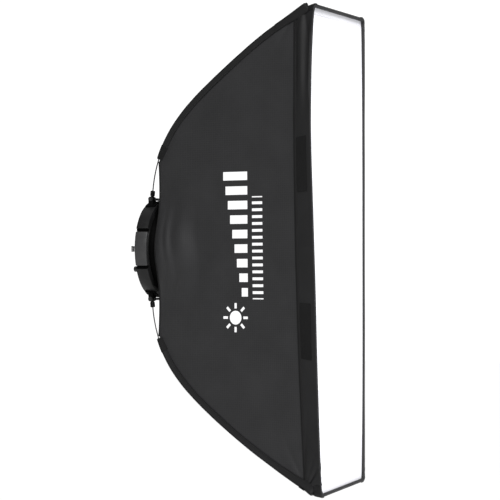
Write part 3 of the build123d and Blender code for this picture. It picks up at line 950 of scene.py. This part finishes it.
def make_sleeves():
    for level_name, level in LEVELS.items():
        finish = distance_at(SLEEVE_END[level_name])
        for side_name, side in SIDES.items():
            corner = f"{level_name}_{side_name}"
            distances = np.linspace(SLEEVE_START, finish, 110)
            phase = side + 2 * level
            uneven = 1 + 0.02 * np.sin(distances * 60 + phase) + 0.015 * np.sin(distances * 133)
            name = f"{corner}_sleeve_cloth"
            sleeve = on_rod(name, side, level, distances, SLEEVE_SECTION, CLOTH["sleeve"], uneven)
            soft_piece(sleeve, level_name, "black_ripstop", f"{corner}_rod_sleeve")
            distances = np.linspace(SLEEVE_START - 2 * MM, SLEEVE_START + WEBBING_LENGTH, 12)
            name = f"{corner}_sleeve_webbing"
            webbing = on_rod(name, side, level, distances, WEBBING_SECTION, CLOTH["webbing"])
            soft_piece(webbing, level_name, "black_webbing", "sleeve_webbing")
            distances = finish - SHOE_LENGTH * np.cos(np.linspace(0, pi / 2, 34))
            closing = np.sqrt(1 - np.clip(1 - (finish - distances) / (5 * MM), 0, 0.93) ** 2)
            swell = (1.02 + 0.32 * smooth((distances - finish + 0.06) / 0.05)) * closing
            name = f"{corner}_corner_shoe"
            shoe = on_rod(name, side, level, distances, SHOE_SECTION, CLOTH["sleeve"], swell)
            soft_piece(shoe, level_name, "black_ripstop", f"{corner}_corner_pocket")


# ---------------------------------------------------------------- stitches


STITCH_SIZES = {"Pitch": 4 * MM, "Length": 2.6 * MM, "Width": 0.7 * MM}


def stitch_tree():
    """Small flattened beads along an edge path, one every pitch."""
    tree = bpy.data.node_groups.new("stitch_row", "GeometryNodeTree")
    interface = tree.interface
    interface.new_socket("Geometry", in_out="INPUT", socket_type="NodeSocketGeometry")
    for name, value in STITCH_SIZES.items():
        socket = interface.new_socket(name, in_out="INPUT", socket_type="NodeSocketFloat")
        socket.default_value = value
    interface.new_socket("Thread", in_out="INPUT", socket_type="NodeSocketMaterial")
    interface.new_socket("Geometry", in_out="OUTPUT", socket_type="NodeSocketGeometry")

    def add(kind, settings=None, **links):
        node = tree.nodes.new(kind)
        for name, value in (settings or {}).items():
            setattr(node, name, value)
        for name, value in links.items():
            socket = node.inputs[name.replace("_", " ")]
            if isinstance(value, bpy.types.NodeSocket):
                tree.links.new(value, socket)
            else:
                socket.default_value = value
        return node

    def made(kind, settings=None, **links):
        return add(kind, settings, **links).outputs[0]

    given = add("NodeGroupInput").outputs
    pitch, width, length = given["Pitch"], given["Width"], given["Length"]
    line = made("GeometryNodeMeshToCurve", None, Mesh=given["Geometry"])
    even = made("GeometryNodeResampleCurve", {"mode": "LENGTH"}, Curve=line, Length=pitch)
    bead = made("GeometryNodeMeshIcoSphere", None, Radius=0.5, Subdivisions=1)
    size = made("ShaderNodeCombineXYZ", None, X=width, Y=width, Z=length)
    tangent = made("GeometryNodeInputTangent")
    turn = made("FunctionNodeAlignRotationToVector", {"axis": "Z"}, Vector=tangent)
    places = {"Points": even, "Instance": bead, "Rotation": turn, "Scale": size}
    rows = made("GeometryNodeInstanceOnPoints", None, **places)
    real = made("GeometryNodeRealizeInstances", None, Geometry=rows)
    dyed = made("GeometryNodeSetMaterial", None, Geometry=real, Material=given["Thread"])
    add("NodeGroupOutput", None, Geometry=dyed)
    return tree


STITCHES = stitch_tree()


def stitch_row(name, path, level_name, thread):
    mesh = bpy.data.meshes.new(name)
    mesh.from_pydata(path.tolist(), [(i, i + 1) for i in range(len(path) - 1)], [])
    row = bpy.data.objects.new(name, mesh)
    bpy.context.collection.objects.link(row)
    modifier = row.modifiers.new("stitches", "NODES")
    modifier.node_group = STITCHES
    wanted = {**STITCH_SIZES, "Thread": thread}
    for item in STITCHES.interface.items_tree:
        if item.in_out == "INPUT" and item.name in wanted:
            modifier[item.identifier] = wanted[item.name]
    evaluated = row.evaluated_get(bpy.context.evaluated_depsgraph_get())
    made = bpy.data.meshes.new_from_object(evaluated)
    row.modifiers.clear()
    row.data = made
    made.polygons.foreach_set("use_smooth", [True] * len(made.polygons))
    return soft_piece(row, level_name, "black_webbing")


def make_stitches():
    for level_name, level in LEVELS.items():
        grid = lip_grid(level, lift=0.15 * MM)
        stitch_row(f"{level_name}_lip_stitches", grid[1], level_name, BLACK_THREAD)
        hem = diffuser_loop(level, 15.2 * MM, 4 * MM, 1.0 * MM)
        stitch_row(f"{level_name}_hem_stitches", hem, level_name, WHITE_THREAD)
        for side_name, side in SIDES.items():
            corner = f"{level_name}_{side_name}"
            distances = np.linspace(SLEEVE_START + WEBBING_LENGTH, ROD_LENGTH - 40 * MM, 90)
            path, outward, sideways = rod_frame(side, level, distances)
            path = path - outward * 7.6 * MM + sideways * 1.3 * MM
            path = settle(-path[:, 1], path[:, 0], path[:, 2])
            stitch_row(f"{corner}_sleeve_stitches", path, level_name, BLACK_THREAD)


# ---------------------------------------------------------------- the speed ring and the rods


def paint(material, *nodes):
    for name in nodes:
        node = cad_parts[name]
        node.data.materials.clear()
        node.data.materials.append(material)


def softened(node_name, body, material, width):
    """A copy of a hard CAD piece with its sharp edges rounded, shown in its place."""
    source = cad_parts[node_name]
    mesh = source.data.copy()
    work = bmesh.new()
    work.from_mesh(mesh)
    bmesh.ops.remove_doubles(work, verts=work.verts, dist=0.01 * MM)
    bmesh.ops.dissolve_limit(work, angle_limit=radians(1.0), verts=work.verts, edges=work.edges)
    work.to_mesh(mesh)
    work.free()
    mesh.materials.clear()
    mesh.materials.append(material)
    mesh.polygons.foreach_set("use_smooth", [True] * len(mesh.polygons))
    piece = bpy.data.objects.new(f"{node_name}_eased", mesh)
    bpy.context.collection.objects.link(piece)
    bevel = piece.modifiers.new("eased_edges", "BEVEL")
    bevel.width = width
    bevel.segments = 2
    bevel.limit_method = "ANGLE"
    bevel.angle_limit = radians(40)
    bevel.harden_normals = True
    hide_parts(node_name)
    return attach(piece, body)


def make_springs():
    """Copies of the paddle springs in spring steel, carried by the speed ring."""
    for name in SIDES:
        node = f"{name}_paddle_springs"
        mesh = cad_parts[node].data.copy()
        mesh.materials.clear()
        mesh.materials.append(ROD_STEEL)
        piece = bpy.data.objects.new(f"{name}_paddle_coils", mesh)
        bpy.context.collection.objects.link(piece)
        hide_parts(node)
        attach(piece, "speed_ring")
        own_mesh(piece)


PAD_PLACE = radians(23.65)
PAD_ANGLE = radians(3.2)
PAD_DEPTHS = (1.0 * MM, 23.0 * MM)
PAD_STEPS = 19
RIB_HEIGHT = 1.1 * MM


def gap_pad(side, turn):
    """A ribbed black pad in the gap beside a release paddle."""
    middle = (0 if side > 0 else pi) + turn
    steps = np.linspace(0, 1, PAD_STEPS)
    ribs = RING_RADIUS - 0.8 * MM - RIB_HEIGHT * (0.5 - 0.5 * np.cos(steps * 6 * pi))
    ends = np.where((steps == 0) | (steps == 1), 2.5 * MM, 0)
    angles = middle + (steps - 0.5) * PAD_ANGLE
    outer = np.stack([(ribs - ends) * np.cos(angles), (ribs - ends) * np.sin(angles)], axis=1)
    floor = RING_RADIUS - 9.5 * MM
    inner = floor * np.stack([np.cos(angles), np.sin(angles)], axis=1)[::-1]
    outline = np.concatenate([outer, inner])
    count = len(outline)
    points = [(x, -depth, z) for depth in PAD_DEPTHS for x, z in outline]
    faces = [(i, (i + 1) % count, (i + 1) % count + count, i + count) for i in range(count)]
    faces += [tuple(range(count))[::-1], tuple(range(count, 2 * count))]
    return points, faces


def make_gap_pads():
    for side_name, side in SIDES.items():
        for level_name, level in LEVELS.items():
            points, faces = gap_pad(side, PAD_PLACE * level * side)
            name = f"{level_name}_{side_name}_gap_pad"
            piece = closed_mesh(name, points, faces, BLACK_PLASTIC_AND_SHADE, sharp=35)
            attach(piece, "speed_ring")


def make_ring():
    softened("ring_housing", "speed_ring", GREY_PLASTIC, 0.8 * MM)
    softened("rear_cover", "speed_ring", GREY_PLASTIC, 0.4 * MM)
    # The hub's near-black, dull plastic is partly painted shade for the shadow in its recess.
    softened("front_hub", "speed_ring", BLACK_PLASTIC_AND_SHADE, 0.8 * MM)
    softened("mount_insert", "insert", BRIGHT_METAL, 0.3 * MM)
    for side in SIDES:
        softened(f"{side}_release_paddle", f"{side}_paddle", BRIGHT_PLASTIC, 0.8 * MM)
    for level in LEVELS:
        softened(f"{level}_hinge_bracket", "speed_ring", BLACK_PLASTIC_AND_SHADE, 0.3 * MM)
        for side in SIDES:
            corner = f"{level}_{side}"
            softened(f"{corner}_rod_holder", f"{level}_rods", HOLDER_PLASTIC, 0.25 * MM)
            paint(ROD_STEEL, f"{corner}_rod")
            paint(BLACK_PLASTIC_AND_SHADE, f"{corner}_rod_tip")
    paint(BLACK_GLOSS, "lock_knob")
    paint(BLACK_PLASTIC_AND_SHADE, "insert_brake_pad")
    paint(BRIGHT_METAL, "fabric_retainer")
    paint(DARK_STEEL, "hinge_axles", "cover_screws", "retainer_screws", "bracket_screws", "axle_clips")


# ---------------------------------------------------------------- floor, light and camera


FLOOR_PLACE = (0, 0, -0.72)
SKY_LIGHT = 0.36
SKY_SEEN = 1.1
SUN_LIGHT = 4.1
SUN_SPREAD = 0.5
SUN_DIRECTION = (0.62, 0.5, -0.6)


def make_stage():
    bpy.ops.mesh.primitive_circle_add(vertices=96, radius=14, fill_type="NGON", location=FLOOR_PLACE)
    floor = bpy.context.object
    floor.name = "studio_floor"
    shader = Shader("pale_floor", 0.9)
    cloudy = shader.noise(shader.object_place(), 0.6, 2.0)
    shader.set(Base_Color=shader.blend(cloudy, grey(0.9), grey(0.93)))
    floor.data.materials.append(shader.material)
    world = bpy.data.worlds.new("white_studio")
    world.use_nodes = True
    tree = world.node_tree
    seen = tree.nodes.new("ShaderNodeLightPath").outputs["Is Camera Ray"]
    strength = tree.nodes.new("ShaderNodeMapRange")
    strength.inputs["To Min"].default_value = SKY_LIGHT
    strength.inputs["To Max"].default_value = SKY_SEEN
    tree.links.new(seen, strength.inputs["Value"])
    tree.links.new(strength.outputs["Result"], tree.nodes["Background"].inputs["Strength"])
    tree.nodes["Background"].inputs["Color"].default_value = grey(1.0)
    bpy.context.scene.world = world
    sun = bpy.data.lights.new("window_light", "SUN")
    sun.energy, sun.angle = SUN_LIGHT, SUN_SPREAD
    lamp = bpy.data.objects.new("window_light", sun)
    lamp.rotation_euler = Vector(SUN_DIRECTION).to_track_quat("-Z", "Y").to_euler()
    bpy.context.collection.objects.link(lamp)


FRONT_LIGHT_PLACE = Vector((-0.8, -3.4, 0.6))
FRONT_LIGHT_TARGET = Vector((0, -0.3, 0))
FRONT_LIGHT_SIZE = 2.4
FRONT_LIGHT_POWER = 12


def make_front_light():
    lamp = bpy.data.lights.new("front_light", "AREA")
    lamp.shape = "RECTANGLE"
    lamp.size = lamp.size_y = FRONT_LIGHT_SIZE
    lamp.energy = FRONT_LIGHT_POWER
    thing = bpy.data.objects.new("front_light", lamp)
    thing.location = FRONT_LIGHT_PLACE
    aim = FRONT_LIGHT_TARGET - FRONT_LIGHT_PLACE
    thing.rotation_euler = aim.to_track_quat("-Z", "Y").to_euler()
    bpy.context.collection.objects.link(thing)


CAMERA_PLACE = Vector((-4.0425, -1.6646, -0.0641))
CAMERA_AIM = Vector((0.94044, 0.33966, 0.01435))
CAMERA_LENS = 159.2


def make_camera():
    lens = bpy.data.cameras.new("studio_camera")
    lens.lens = CAMERA_LENS
    lens.sensor_width = 36
    camera = bpy.data.objects.new("studio_camera", lens)
    camera.location = CAMERA_PLACE
    camera.rotation_euler = CAMERA_AIM.to_track_quat("-Z", "Y").to_euler()
    bpy.context.collection.objects.link(camera)
    bpy.context.scene.camera = camera


make_panels()
make_collar()
make_lip()
make_corner_tabs()
make_patches()
make_diffuser()
make_lining()
make_baffle()
make_sleeves()
make_stitches()
make_ring()
make_springs()
make_gap_pads()
make_stage()
make_front_light()
make_camera()
bpy.context.scene.view_settings.view_transform = "Standard"
